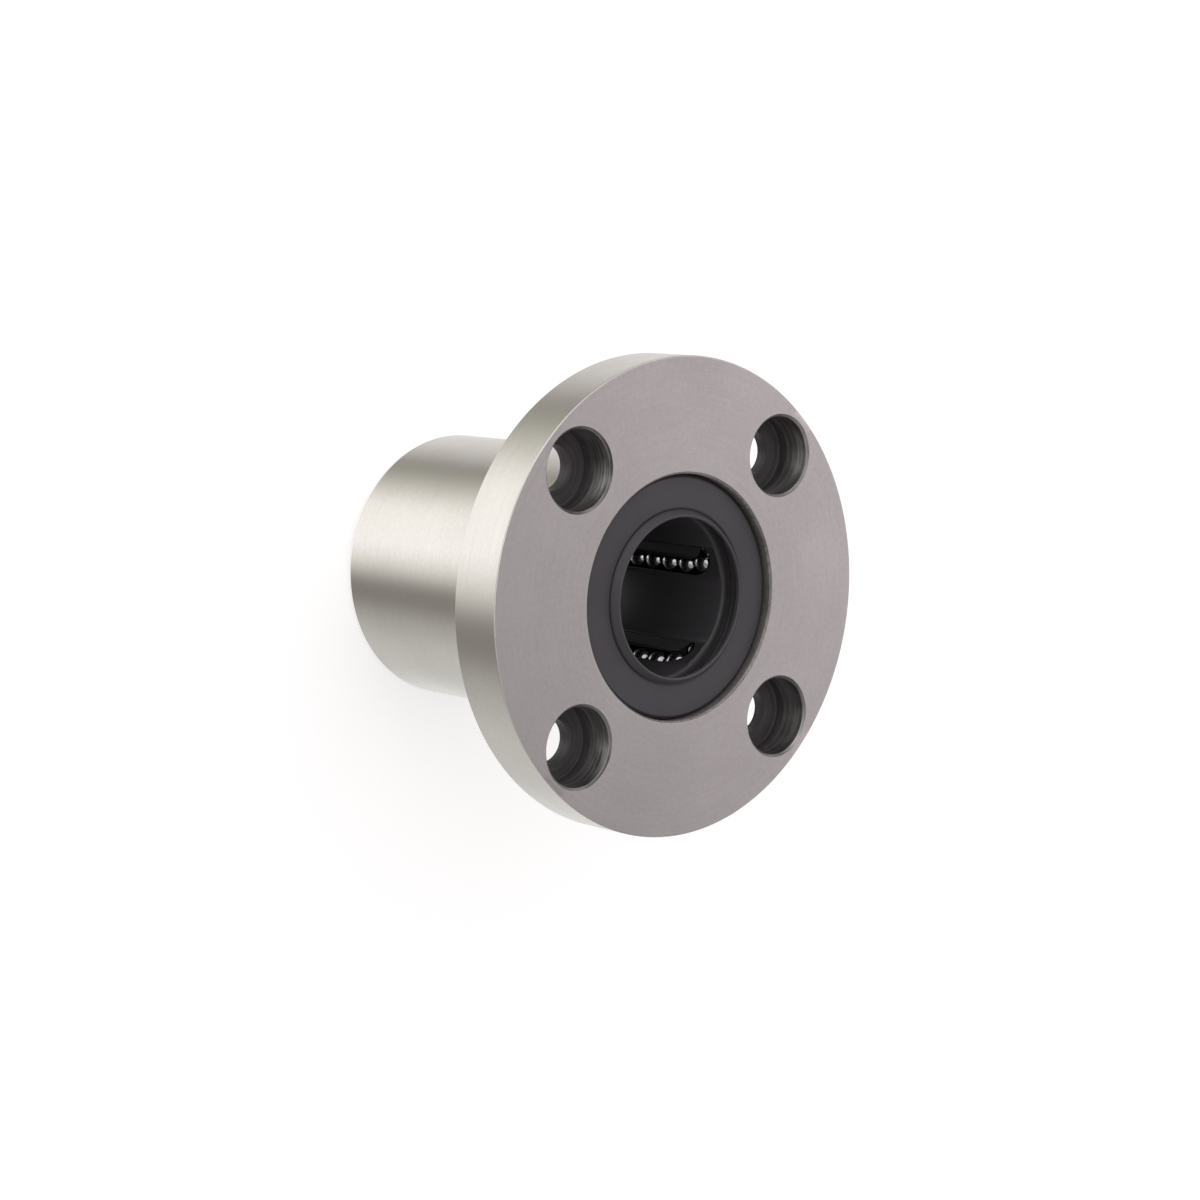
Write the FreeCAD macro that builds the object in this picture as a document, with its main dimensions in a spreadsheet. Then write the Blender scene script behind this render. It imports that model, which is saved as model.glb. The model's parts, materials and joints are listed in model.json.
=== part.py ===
import FreeCAD, Part
import math
import os
import Sketcher
from FreeCAD import Placement, Rotation, Vector

# Flanged linear ball bearing: a flanged sleeve that runs on a shaft on recirculating balls.
# The bore axis is +Z and points out of the flange's front face. The origin lies on that axis, in the
# flange's seating face, so the flange stands above z = 0 and the body reaches down from it.
# Each ball circuit is a racetrack in a plane that touches the circle of the loaded balls: a loaded row
# against the shaft, a return row further out, and a half turn at each end.

# Driving sizes in millimetres, angles in degrees.
SIZES = {
    # Sleeve and flange
    "shaft_diameter": 16.0,
    "overall_length": 37.0,
    "sleeve_wall": 2.231,
    "body_end_chamfer": 0.8,
    "mouth_chamfer": 0.2,
    "flange_thickness": 6.0,
    "flange_chamfer": 0.1,
    # Bolt holes
    "bolt_count": 4,
    "bolt_start_angle": 45.0,
    "bolt_hole_diameter": 4.5,
    "counterbore_diameter": 8.0,
    "counterbore_floor": 1.9,
    "counterbore_chamfer": 0.25,
    "bolt_hole_chamfer": 0.45,
    "bolt_inner_wall": 1.0,
    "bolt_outer_wall": 1.0,
    # Ball circuits
    "ball_diameter": 2.381,
    "ball_gap": 0.03,
    "turn_ball_count": 3,
    "circuit_count": 5,
    "circuit_start_angle": 12.5,
    "raceway_clearance": 0.03,
    "groove_clearance": 0.1,
    "relief_margin": 0.1,
    # Retainer
    "retainer_shaft_clearance": 0.25,
    "retainer_land_clearance": 0.1,
    "retainer_end_wall": 0.6,
    "retainer_chamfer": 0.3,
    # Retaining rings
    "ring_thickness": 0.5,
    "ring_groove_depth": 0.5,
    "ring_shoulder": 0.58,
    "ring_overlap": 0.9,
    "ring_gap_angle": 24.0,
    "stack_clearance": 0.05,
    # Seals
    "seal_recess": 0.8,
    "seal_thickness": 1.4,
    "seal_fit_clearance": 0.03,
    "seal_edge_chamfer": 0.8,
    "lip_root_width": 0.7,
    "lip_groove_width": 0.25,
    "lip_groove_depth": 0.1,
    "lip_crest_width": 0.25,
    "lip_crest_recess": 0.1,
    "lip_edge_chamfer": 0.1,
    "lip_land_length": 0.35,
    "lip_back_width": 1.3,
    "lip_back_land": 0.4,
}

# Sizes that follow from the driving ones, each after those that it builds on.
FOLLOWING = {
    "shaft_radius": "Sizes.shaft_diameter / 2",
    "ball_radius": "Sizes.ball_diameter / 2",
    # Neighbouring balls of a turn stand a chord apart, one ball and its gap.
    "turn_radius": "(Sizes.ball_diameter + Sizes.ball_gap) / (2 * sin(90 / Sizes.turn_ball_count))",
    "turn_ball_angle": "180 / Sizes.turn_ball_count",
    "ball_pitch": "pi * Follow.turn_radius / Sizes.turn_ball_count",
    "circuit_angle": "360 / Sizes.circuit_count",
    "row_radius": "Follow.shaft_radius + Follow.ball_radius",
    "return_offset": "2 * Follow.turn_radius",
    "return_radius": "sqrt(Follow.row_radius ^ 2 + Follow.return_offset ^ 2)",
    "groove_radius": "Follow.ball_radius + Sizes.groove_clearance",
    # Steps of the sleeve's bore and its outside, from the shaft outwards.
    "raceway_radius": "Follow.row_radius + Follow.ball_radius + Sizes.raceway_clearance",
    "relief_radius": "Follow.return_radius + Follow.groove_radius + Sizes.relief_margin",
    "seat_radius": "Follow.relief_radius + Sizes.ring_shoulder",
    "ring_groove_radius": "Follow.seat_radius + Sizes.ring_groove_depth",
    "body_radius": "Follow.relief_radius + Sizes.sleeve_wall",
    "counterbore_radius": "Sizes.counterbore_diameter / 2",
    "bolt_circle_radius": "Follow.body_radius + Sizes.bolt_inner_wall + Follow.counterbore_radius",
    "flange_radius": "Follow.bolt_circle_radius + Follow.counterbore_radius + Sizes.bolt_outer_wall",
    # Heights of the sleeve's two ends and of its middle.
    "front_face": "Sizes.flange_thickness",
    "rear_face": "Sizes.flange_thickness - Sizes.overall_length",
    "middle": "(Follow.front_face + Follow.rear_face) / 2",
    # Distances from the middle to the faces of the seals, rings and retainer, alike at both ends.
    "end_reach": "Sizes.overall_length / 2",
    "seal_outer_reach": "Follow.end_reach - Sizes.seal_recess",
    "seal_inner_reach": "Follow.seal_outer_reach - Sizes.seal_thickness",
    "lip_crest_reach": "Follow.end_reach - Sizes.lip_crest_recess",
    "lip_outer_reach": "Follow.lip_crest_reach - Sizes.lip_edge_chamfer",
    "lip_inner_reach": "Follow.lip_outer_reach - Sizes.lip_land_length",
    "ring_outer_reach": "Follow.seal_inner_reach - Sizes.stack_clearance",
    "ring_inner_reach": "Follow.ring_outer_reach - Sizes.ring_thickness",
    "retainer_reach": "Follow.ring_inner_reach - Sizes.stack_clearance",
    # The rows hold as many balls as fit between the turns.
    "turn_reach": "Follow.turn_radius + Follow.groove_radius + Sizes.retainer_end_wall",
    "row_ball_count": "floor(2 * (Follow.retainer_reach - Follow.turn_reach) / Follow.ball_pitch)",
    "row_length": "Follow.row_ball_count * Follow.ball_pitch",
    "row_reach": "Follow.row_length / 2",
    # Radii of the pieces inside the sleeve.
    "retainer_inner_radius": "Follow.shaft_radius + Sizes.retainer_shaft_clearance",
    "retainer_outer_radius": "Follow.raceway_radius - Sizes.retainer_land_clearance",
    "ring_inner_radius": "Follow.retainer_outer_radius - Sizes.ring_overlap",
    "ring_outer_radius": "Follow.ring_groove_radius - Sizes.stack_clearance",
    "seal_radius": "Follow.seat_radius - Sizes.seal_fit_clearance",
    "lip_root_radius": "Follow.shaft_radius + Sizes.lip_root_width",
    "lip_back_radius": "Follow.shaft_radius + Sizes.lip_back_width",
}

# Ends of the bearing, as signs along the bore axis.
ENDS = {"front": 1, "rear": -1}

# Point numbers that sketch constraints use, and the sketch's own origin.
START, FINISH, CENTRE = 1, 2, 3
SKETCH_ORIGIN = (-1, 1)

doc = FreeCAD.newDocument("flanged_linear_bearing")


def fill_sheet():
    """Write the driving sizes to the spreadsheet, each cell named after its size."""
    sheet = doc.addObject("Spreadsheet::Sheet", "Sizes")
    for row, (name, value) in enumerate(SIZES.items(), start=1):
        sheet.set(f"A{row}", name)
        sheet.set(f"B{row}", str(value))
        sheet.setAlias(f"B{row}", name)
    doc.recompute()


def add_following_sizes():
    """Bind the sizes that follow to the spreadsheet."""
    follow = doc.addObject("App::VarSet", "Follow")
    for name, expression in FOLLOWING.items():
        follow.addProperty("App::PropertyFloat", name)
        follow.setExpression(name, expression)
        doc.recompute()


def new_body(name):
    """A new sub-part, whose label names its file."""
    body = doc.addObject("PartDesign::Body", name)
    body.Label = name
    return body


def origin_of(body, role):
    """One of the body's own origin planes or axes."""
    return next(feature for feature in body.Origin.OriginFeatures if feature.Role == role)


def new_sketch(body, name, plane, offset="0"):
    """A sketch parallel to one of the body's origin planes."""
    sketch = body.newObject("Sketcher::SketchObject", name)
    sketch.AttachmentSupport = (origin_of(body, plane), [""])
    sketch.MapMode = "FlatFace"
    sketch.setExpression("AttachmentOffset.Base.z", offset)
    return sketch


def hold_size(sketch, kind, geometry, expression):
    """Tie a circle's or an arc's size to an expression."""
    constraint = Sketcher.Constraint(kind, geometry, sketch.evalExpression(expression))
    sketch.setExpression(f"Constraints[{sketch.addConstraint(constraint)}]", expression)


def hold_point(sketch, geometry, point, across, up):
    """Tie a point of the sketch to two expressions, measured from the sketch's origin."""
    for kind, expression in (("DistanceX", across), ("DistanceY", up)):
        value = sketch.evalExpression(expression)
        constraint = Sketcher.Constraint(kind, *SKETCH_ORIGIN, geometry, point, value)
        sketch.setExpression(f"Constraints[{sketch.addConstraint(constraint)}]", expression)


def circle_sketch(body, name, height, diameter, across, up):
    """A circle in a plane across the bore axis."""
    sketch = new_sketch(body, name, "XY_Plane", height)
    radius = sketch.evalExpression(diameter) / 2
    circle = sketch.addGeometry(Part.Circle(Vector(), Vector(0, 0, 1), radius), False)
    hold_size(sketch, "Diameter", circle, diameter)
    hold_point(sketch, circle, CENTRE, across, up)
    return sketch


def section_sketch(body, name, corners):
    """A closed section in the XZ plane, given as expressions for each corner's radius and height."""
    sketch = new_sketch(body, name, "XZ_Plane")
    points = []
    for radius, height in corners:
        points.append(Vector(sketch.evalExpression(radius), sketch.evalExpression(height), 0))
    count = len(points)
    for index, point in enumerate(points):
        sketch.addGeometry(Part.LineSegment(point, points[(index + 1) % count]), False)
    for index, (radius, height) in enumerate(corners):
        following = (index + 1) % count
        sketch.addConstraint(Sketcher.Constraint("Coincident", index, FINISH, following, START))
        hold_point(sketch, index, START, radius, height)
    return sketch


def revolve(body, name, corners, angle="360"):
    """Turn a section about the bore axis, evenly to both sides of its plane."""
    turned = body.newObject("PartDesign::Revolution", name)
    turned.Profile = section_sketch(body, f"{name}_section", corners)
    turned.ReferenceAxis = (origin_of(body, "Z_Axis"), [""])
    turned.Midplane = True
    turned.setExpression("Angle", angle)


def polar_pattern(body, name, feature, axis, angle, count):
    """Repeat a feature about one of the body's axes and make the pattern the body's result."""
    pattern = body.newObject("PartDesign::PolarPattern", name)
    pattern.Originals = [feature]
    pattern.Axis = (origin_of(body, axis), [""])
    pattern.setExpression("Angle", angle)
    pattern.setExpression("Occurrences", count)
    body.Tip = pattern
    return pattern


def at_end(end, reach):
    """Height of a face that lies a reach away from the middle, towards one end."""
    return f"Follow.middle + {end} * ({reach})"


def place_on_circuit(item, number, tangential, height):
    """Turn an item to its circuit and set it off along the circuit's tangent and the bore axis."""
    angle = f"Sizes.circuit_start_angle + {number - 1} * Follow.circuit_angle"
    item.Placement = Placement(Vector(), Rotation(Vector(0, 0, 1), item.evalExpression(angle)))
    item.setExpression("Placement.Rotation.Angle", angle)
    item.setExpression("Placement.Base.x", f"Follow.row_radius * cos({angle}) - {tangential} * sin({angle})")
    item.setExpression("Placement.Base.y", f"Follow.row_radius * sin({angle}) + {tangential} * cos({angle})")
    item.setExpression("Placement.Base.z", height)


def sleeve_section():
    """Corners of the sleeve's section: the outside from front to rear, then the stepped bore back."""
    outside = [
        ("Follow.seat_radius + Sizes.mouth_chamfer", "Follow.front_face"),
        ("Follow.flange_radius - Sizes.flange_chamfer", "Follow.front_face"),
        ("Follow.flange_radius", "Follow.front_face - Sizes.flange_chamfer"),
        ("Follow.flange_radius", "Sizes.flange_chamfer"),
        ("Follow.flange_radius - Sizes.flange_chamfer", "0"),
        ("Follow.body_radius", "0"),
        ("Follow.body_radius", "Follow.rear_face + Sizes.body_end_chamfer"),
        ("Follow.body_radius - Sizes.body_end_chamfer", "Follow.rear_face"),
        ("Follow.seat_radius + Sizes.mouth_chamfer", "Follow.rear_face"),
    ]
    half_bore = [
        ("Follow.seat_radius", "Follow.end_reach - Sizes.mouth_chamfer"),
        ("Follow.seat_radius", "Follow.seal_inner_reach"),
        ("Follow.ring_groove_radius", "Follow.seal_inner_reach"),
        ("Follow.ring_groove_radius", "Follow.retainer_reach"),
        ("Follow.relief_radius", "Follow.retainer_reach"),
        ("Follow.relief_radius", "Follow.row_reach"),
        ("Follow.raceway_radius", "Follow.row_reach"),
    ]
    rear_bore = [(radius, at_end(ENDS["rear"], reach)) for radius, reach in half_bore]
    front_bore = [(radius, at_end(ENDS["front"], reach)) for radius, reach in reversed(half_bore)]
    return outside + rear_bore + front_bore


def cut_return_channels(body):
    """Round channels for the return rows, cut along the lands of the bore."""
    channel = body.newObject("PartDesign::SubtractiveCylinder", "return_channel")
    channel.setExpression("Radius", "Follow.groove_radius")
    channel.setExpression("Height", "Follow.row_length")
    place_on_circuit(channel, 1, "Follow.return_offset", at_end(ENDS["rear"], "Follow.row_reach"))
    polar_pattern(body, "return_channels", channel, "Z_Axis", "360", "Sizes.circuit_count")


def cut_bolt_holes(body):
    """Counterbored bolt holes through the flange, with broken edges at both mouths."""
    across = "Follow.bolt_circle_radius * cos(Sizes.bolt_start_angle)"
    up = "Follow.bolt_circle_radius * sin(Sizes.bolt_start_angle)"
    place = circle_sketch(body, "bolt_place", "Follow.front_face", "Sizes.bolt_hole_diameter", across, up)
    doc.recompute()

    hole = body.newObject("PartDesign::Hole", "bolt_hole")
    hole.Profile = place
    hole.DepthType = "ThroughAll"
    hole.HoleCutType = "Counterbore"
    hole.HoleCutCustomValues = True
    hole.setExpression("Diameter", "Sizes.bolt_hole_diameter")
    hole.setExpression("HoleCutDiameter", "Sizes.counterbore_diameter")
    hole.setExpression("HoleCutDepth", "Sizes.flange_thickness - Sizes.counterbore_floor")
    holes = polar_pattern(body, "bolt_holes", hole, "Z_Axis", "360", "Sizes.bolt_count")
    front = ("Follow.counterbore_radius", "Follow.front_face", "Sizes.counterbore_chamfer")
    seat = ("Sizes.bolt_hole_diameter / 2", "0", "Sizes.bolt_hole_chamfer")
    broken = break_round_edges(body, "counterbore_edges", holes, *front)
    break_round_edges(body, "bolt_hole_edges", broken, *seat)


def break_round_edges(body, name, feature, radius, height, size):
    """Chamfer the circular edges of one radius that a feature has at one height."""
    doc.recompute()
    chamfer = body.newObject("PartDesign::Chamfer", name)
    chamfer.Base = (feature, round_edges(feature, radius, height))
    chamfer.setExpression("Size", size)
    return chamfer


def round_edges(feature, radius, height):
    """Names of a feature's circular edges of one radius at one height."""
    wanted_radius = feature.evalExpression(radius)
    wanted_height = feature.evalExpression(height)
    tolerance = 1e-4
    names = []
    for number, edge in enumerate(feature.Shape.Edges, start=1):
        if not isinstance(edge.Curve, Part.Circle):
            continue
        at_height = abs(edge.Curve.Center.z - wanted_height) < tolerance
        if at_height and abs(edge.Curve.Radius - wanted_radius) < tolerance:
            names.append(f"Edge{number}")
    return names


def make_sleeve():
    """The one-piece sleeve and flange."""
    body = new_body("flanged_sleeve")
    revolve(body, "turned_blank", sleeve_section())
    cut_return_channels(body)
    cut_bolt_holes(body)


def retainer_section():
    """Corners of the retainer's tube, with broken edges at both ends."""
    half = [
        ("Follow.retainer_inner_radius", "Follow.retainer_reach - Sizes.retainer_chamfer"),
        ("Follow.retainer_inner_radius + Sizes.retainer_chamfer", "Follow.retainer_reach"),
        ("Follow.retainer_outer_radius - Sizes.retainer_chamfer", "Follow.retainer_reach"),
        ("Follow.retainer_outer_radius", "Follow.retainer_reach - Sizes.retainer_chamfer"),
    ]
    front = [(radius, at_end(ENDS["front"], reach)) for radius, reach in half]
    rear = [(radius, at_end(ENDS["rear"], reach)) for radius, reach in reversed(half)]
    return front + rear


def racetrack_sketch(body):
    """Centre line of one ball circuit: the loaded row, front turn, return row and rear turn."""
    sketch = new_sketch(body, "ball_path", "YZ_Plane", "Follow.row_radius")
    front_height = at_end(ENDS["front"], "Follow.row_reach")
    rear_height = at_end(ENDS["rear"], "Follow.row_reach")
    turn = sketch.evalExpression("Follow.turn_radius")
    front = Vector(turn, sketch.evalExpression(front_height), 0)
    rear = Vector(turn, sketch.evalExpression(rear_height), 0)
    side = Vector(turn, 0, 0)
    normal = Vector(0, 0, 1)
    loaded = sketch.addGeometry(Part.LineSegment(rear - side, front - side), False)
    front_circle = Part.Circle(front, normal, turn)
    front_turn = sketch.addGeometry(Part.ArcOfCircle(front_circle, 0, math.pi), False)
    back = sketch.addGeometry(Part.LineSegment(front + side, rear + side), False)
    rear_circle = Part.Circle(rear, normal, turn)
    rear_turn = sketch.addGeometry(Part.ArcOfCircle(rear_circle, math.pi, 2 * math.pi), False)
    meetings = [
        (loaded, FINISH, front_turn, FINISH),
        (front_turn, START, back, START),
        (back, FINISH, rear_turn, FINISH),
        (rear_turn, START, loaded, START),
    ]
    for meeting in meetings:
        sketch.addConstraint(Sketcher.Constraint("Tangent", *meeting))
    sketch.addConstraint(Sketcher.Constraint("Equal", front_turn, rear_turn))
    hold_size(sketch, "Radius", front_turn, "Follow.turn_radius")
    hold_point(sketch, front_turn, CENTRE, "Follow.turn_radius", front_height)
    hold_point(sketch, rear_turn, CENTRE, "Follow.turn_radius", rear_height)
    return sketch


def make_retainer():
    """The resin cage: a tube with a round groove along each ball circuit, slotted towards the shaft."""
    body = new_body("ball_retainer")
    revolve(body, "tube", retainer_section())
    path = racetrack_sketch(body)
    diameter = "2 * Follow.groove_radius"
    section = circle_sketch(body, "groove_section", "Follow.middle", diameter, "Follow.row_radius", "0")
    doc.recompute()
    groove = body.newObject("PartDesign::SubtractivePipe", "ball_groove")
    groove.Profile = section
    groove.Spine = (path, [f"Edge{number + 1}" for number in range(path.GeometryCount)])
    polar_pattern(body, "ball_grooves", groove, "Z_Axis", "360", "Sizes.circuit_count")
    body.setExpression("Placement.Rotation.Angle", "Sizes.circuit_start_angle")


def make_retaining_ring(name, end):
    """A flat split ring, sprung into the sleeve's groove, that keeps the retainer in."""
    corners = [
        ("Follow.ring_inner_radius", "Follow.ring_inner_reach"),
        ("Follow.ring_outer_radius", "Follow.ring_inner_reach"),
        ("Follow.ring_outer_radius", "Follow.ring_outer_reach"),
        ("Follow.ring_inner_radius", "Follow.ring_outer_reach"),
    ]
    section = [(radius, at_end(end, reach)) for radius, reach in corners]
    revolve(new_body(name), "split_ring", section, "360 - Sizes.ring_gap_angle")


def make_seal(name, end):
    """A moulded ring pressed into the sleeve's mouth, whose thin lip stands out and wipes the shaft."""
    corners = [
        ("Follow.seal_radius - Sizes.seal_edge_chamfer", "Follow.seal_outer_reach"),
        ("Follow.seal_radius", "Follow.seal_outer_reach - Sizes.seal_edge_chamfer"),
        ("Follow.seal_radius", "Follow.seal_inner_reach"),
        ("Follow.lip_back_radius", "Follow.seal_inner_reach"),
        ("Follow.lip_back_radius", "Follow.seal_inner_reach + Sizes.lip_back_land"),
        ("Follow.shaft_radius", "Follow.lip_inner_reach"),
        ("Follow.shaft_radius", "Follow.lip_outer_reach"),
        ("Follow.shaft_radius + Sizes.lip_edge_chamfer", "Follow.lip_crest_reach"),
        ("Follow.shaft_radius + Sizes.lip_crest_width", "Follow.lip_crest_reach"),
        ("Follow.lip_root_radius", "Follow.seal_outer_reach - Sizes.lip_groove_depth"),
        ("Follow.lip_root_radius + Sizes.lip_groove_width", "Follow.seal_outer_reach"),
    ]
    section = [(radius, at_end(end, reach)) for radius, reach in corners]
    revolve(new_body(name), "moulding", section)


def new_ball(body, tangential, height):
    """The first ball of a group, placed in the group's own frame."""
    ball = body.newObject("PartDesign::AdditiveSphere", "ball")
    ball.setExpression("Radius", "Follow.ball_radius")
    ball.setExpression("Placement.Base.y", tangential)
    ball.setExpression("Placement.Base.z", height)
    return ball


def make_ball_row(name, circuit, tangential):
    """A straight row of separate balls along the bore axis."""
    body = new_body(name)
    row = body.newObject("PartDesign::LinearPattern", "row")
    row.Originals = [new_ball(body, "0", "(Follow.ball_pitch - Follow.row_length) / 2")]
    row.Direction = (origin_of(body, "Z_Axis"), [""])
    row.setExpression("Length", "Follow.row_length - Follow.ball_pitch")
    row.setExpression("Occurrences", "Follow.row_ball_count")
    body.Tip = row
    place_on_circuit(body, circuit, tangential, "Follow.middle")


def make_ball_turn(name, circuit, end):
    """The separate balls that go round one end of a circuit."""
    body = new_body(name)
    tangential = f"{end} * Follow.turn_radius * cos(Follow.turn_ball_angle / 2)"
    height = f"{end} * Follow.turn_radius * sin(Follow.turn_ball_angle / 2)"
    ball = new_ball(body, tangential, height)
    polar_pattern(body, "turn", ball, "X_Axis", "180 - Follow.turn_ball_angle", "Sizes.turn_ball_count")
    place_on_circuit(body, circuit, "Follow.turn_radius", at_end(end, "Follow.row_reach"))


def make_circuits():
    """The balls of every circuit: a loaded row, a return row and a turn at each end."""
    for circuit in range(1, SIZES["circuit_count"] + 1):
        make_ball_row(f"loaded_balls_{circuit}", circuit, "0")
        make_ball_row(f"return_balls_{circuit}", circuit, "Follow.return_offset")
        for end_name, end in ENDS.items():
            make_ball_turn(f"{end_name}_turn_balls_{circuit}", circuit, end)


def check_model():
    """Stop if any object failed to compute or a sub-part has no valid shape."""
    for item in doc.Objects:
        if "Invalid" in item.State or "Error" in item.State:
            raise RuntimeError(f"{item.Label} failed to compute")
    for body in doc.findObjects("PartDesign::Body"):
        if body.Shape.isNull() or not body.Shape.isValid():
            raise RuntimeError(f"{body.Label} has no valid shape")


def export_parts():
    """Write each sub-part to its own file."""
    os.makedirs("parts", exist_ok=True)
    for body in doc.findObjects("PartDesign::Body"):
        body.Shape.exportStep(f"parts/{body.Label}.step")


fill_sheet()
add_following_sizes()
make_sleeve()
make_retainer()
for end_name, end in ENDS.items():
    make_retaining_ring(f"{end_name}_retaining_ring", end)
    make_seal(f"{end_name}_seal", end)
make_circuits()
doc.recompute()
check_model()
export_parts()
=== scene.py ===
import json
import math

import bmesh
import bpy
from mathutils import Matrix, Vector

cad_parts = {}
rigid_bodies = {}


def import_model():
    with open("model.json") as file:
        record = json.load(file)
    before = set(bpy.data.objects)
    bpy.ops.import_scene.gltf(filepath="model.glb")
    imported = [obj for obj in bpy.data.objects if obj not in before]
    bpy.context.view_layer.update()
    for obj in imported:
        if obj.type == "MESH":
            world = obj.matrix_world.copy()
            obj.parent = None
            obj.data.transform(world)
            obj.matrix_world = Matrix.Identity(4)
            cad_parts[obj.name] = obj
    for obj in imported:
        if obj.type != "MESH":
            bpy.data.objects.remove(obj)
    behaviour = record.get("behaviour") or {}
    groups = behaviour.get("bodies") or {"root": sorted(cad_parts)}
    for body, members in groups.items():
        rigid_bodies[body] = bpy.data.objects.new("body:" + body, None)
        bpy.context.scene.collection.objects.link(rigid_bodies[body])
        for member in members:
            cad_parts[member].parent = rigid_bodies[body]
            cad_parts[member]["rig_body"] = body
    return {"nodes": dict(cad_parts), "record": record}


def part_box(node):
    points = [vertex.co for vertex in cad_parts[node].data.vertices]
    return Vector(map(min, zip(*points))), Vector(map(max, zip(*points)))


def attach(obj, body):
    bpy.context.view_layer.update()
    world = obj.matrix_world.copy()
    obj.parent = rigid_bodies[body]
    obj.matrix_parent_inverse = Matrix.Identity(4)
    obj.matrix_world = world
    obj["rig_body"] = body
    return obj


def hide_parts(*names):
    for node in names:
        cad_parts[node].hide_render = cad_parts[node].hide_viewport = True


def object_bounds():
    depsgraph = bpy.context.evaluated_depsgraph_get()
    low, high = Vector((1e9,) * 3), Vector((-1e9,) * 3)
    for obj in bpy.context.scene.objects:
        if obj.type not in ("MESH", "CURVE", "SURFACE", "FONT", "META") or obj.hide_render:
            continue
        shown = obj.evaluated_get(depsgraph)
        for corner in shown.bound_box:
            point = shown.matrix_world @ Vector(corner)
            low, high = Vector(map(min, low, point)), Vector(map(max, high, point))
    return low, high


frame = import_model()
CAD_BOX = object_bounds()

# Main sizes in metres, as the frame gives them.
MM = 0.001
MOUNTS = {mount["name"]: mount for mount in frame["record"]["mounts"]}
SHAFT_RADIUS = MOUNTS["shaft_bore"]["dims"]["r_mm"] * MM
BODY_RADIUS = MOUNTS["body_spigot"]["dims"]["r_mm"] * MM
BOLT_HOLE_RADIUS = MOUNTS["flange_bolts"]["dims"]["hole_r_mm"] * MM
BOLT_CIRCLE_RADIUS = MOUNTS["flange_bolts"]["dims"]["pcd_mm"] * MM / 2
BOLT_COUNT = MOUNTS["flange_bolts"]["dims"]["count"]
FIRST_BOLT_ANGLE = math.radians(45)

SLEEVE_LOW, SLEEVE_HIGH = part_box("flanged_sleeve")
FLANGE_RADIUS = SLEEVE_HIGH.x
FRONT_FACE = SLEEVE_HIGH.z
REAR_FACE = SLEEVE_LOW.z
MIDDLE = (FRONT_FACE + REAR_FACE) / 2
SEAL_LOW, SEAL_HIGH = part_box("front_seal")
_, RING_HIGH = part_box("front_retaining_ring")
_, RETAINER_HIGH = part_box("ball_retainer")
ROW_LOW, ROW_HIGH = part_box("loaded_balls_1")
BALL_RADIUS = (ROW_HIGH.x - ROW_LOW.x) / 2

# Small sizes of the sleeve. Painted shade darkens its recess up to a height over the seal's back.
FLANGE_EDGE = 0.1 * MM
REAR_EDGE = 0.8 * MM
MOUTH_EDGE = 0.2 * MM
EDGE_BREAK = 0.04 * MM
SEAT_PLAY = 0.03 * MM
SEAT_RADIUS = SEAL_HIGH.x + SEAT_PLAY
GROOVE_PLAY = 0.05 * MM
GROOVE_RADIUS = RING_HIGH.x + GROOVE_PLAY
RELIEF_RADIUS = 11.769 * MM
RACEWAY_RADIUS = 10.411 * MM
CHANNEL_PLAY = 0.1 * MM
CHANNEL_RADIUS = BALL_RADIUS + CHANNEL_PLAY
ROW_GAP = 0.072 * MM
RECESS_SHADE_HEIGHT = 0.6 * MM

# Small sizes of the bolt holes. Painted shade darkens their walls from the floor up to its end height,
# and their cutter stands out of both faces of the flange by its reach.
COUNTERBORE_RADIUS = 4.0 * MM
COUNTERBORE_FLOOR = 1.9 * MM
COUNTERBORE_EDGE = 0.25 * MM
COUNTERBORE_SHADE_END = 5.0 * MM
COUNTERBORE_ROUND = 0.12 * MM
BOLT_HOLE_EDGE = 0.45 * MM
CUTTER_REACH = 1.0 * MM

# Small sizes of the seals.
SEAL_RECESS = 0.8 * MM
SEAL_EDGE = 0.4 * MM
SEAL_ROUND = 0.05 * MM
LIP_ROOT_WIDTH = 0.7 * MM
LIP_ROOT_RADIUS = SHAFT_RADIUS + LIP_ROOT_WIDTH
LIP_GROOVE_WIDTH = 0.25 * MM
LIP_GROOVE_DEPTH = 0.1 * MM
LIP_CREST_WIDTH = 0.25 * MM
LIP_EDGE = 0.1 * MM
LIP_LAND_LENGTH = 0.35 * MM
LIP_BACK_WIDTH = 1.3 * MM
LIP_BACK_LAND = 0.4 * MM
ROOT_SHADE_SHIFT = 0.1 * MM

# How finely the pieces are made.
TURNING_STEPS = 256
HOLE_STEPS = 72
CHANNEL_STEPS = 40
EDGE_STEPS = 2
COUNTERBORE_ROUND_STEPS = 3
SHARP_ANGLE = math.radians(32)
SEAM_MERGE = 0.001 * MM
SLIVER_MERGE = 0.0005 * MM

# The Mix node's own numbers for its two colours and its result.
FIRST_COLOUR = 6
SECOND_COLOUR = 7
MIXED_COLOUR = 2
WHITE = (1.0, 1.0, 1.0, 1.0)


def add_node(tree, kind, sockets=None, **settings):
    """A node with its settings made, its numbers set and its links drawn."""
    made = tree.nodes.new(kind)
    for name, value in settings.items():
        setattr(made, name, value)
    for key, value in (sockets or {}).items():
        socket = made.inputs[key]
        if isinstance(value, bpy.types.NodeSocket):
            tree.links.new(value, socket)
        else:
            socket.default_value = value
    return made


def maths(tree, operation, first, second=0.0, third=0.0):
    """One sum on up to three values."""
    sockets = {0: first, 1: second, 2: third}
    return add_node(tree, "ShaderNodeMath", sockets, operation=operation).outputs[0]


def weigh(tree, first, share, second):
    """Two values in one: the first by its share and the second by the rest."""
    rest = maths(tree, "MULTIPLY", second, 1.0 - share)
    return maths(tree, "MULTIPLY_ADD", first, share, rest)


def spread(tree, value, low, high):
    """A value from 0 to 1 spread from low to high."""
    sockets = {"Value": value, "To Min": low, "To Max": high}
    return add_node(tree, "ShaderNodeMapRange", sockets).outputs["Result"]


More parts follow.
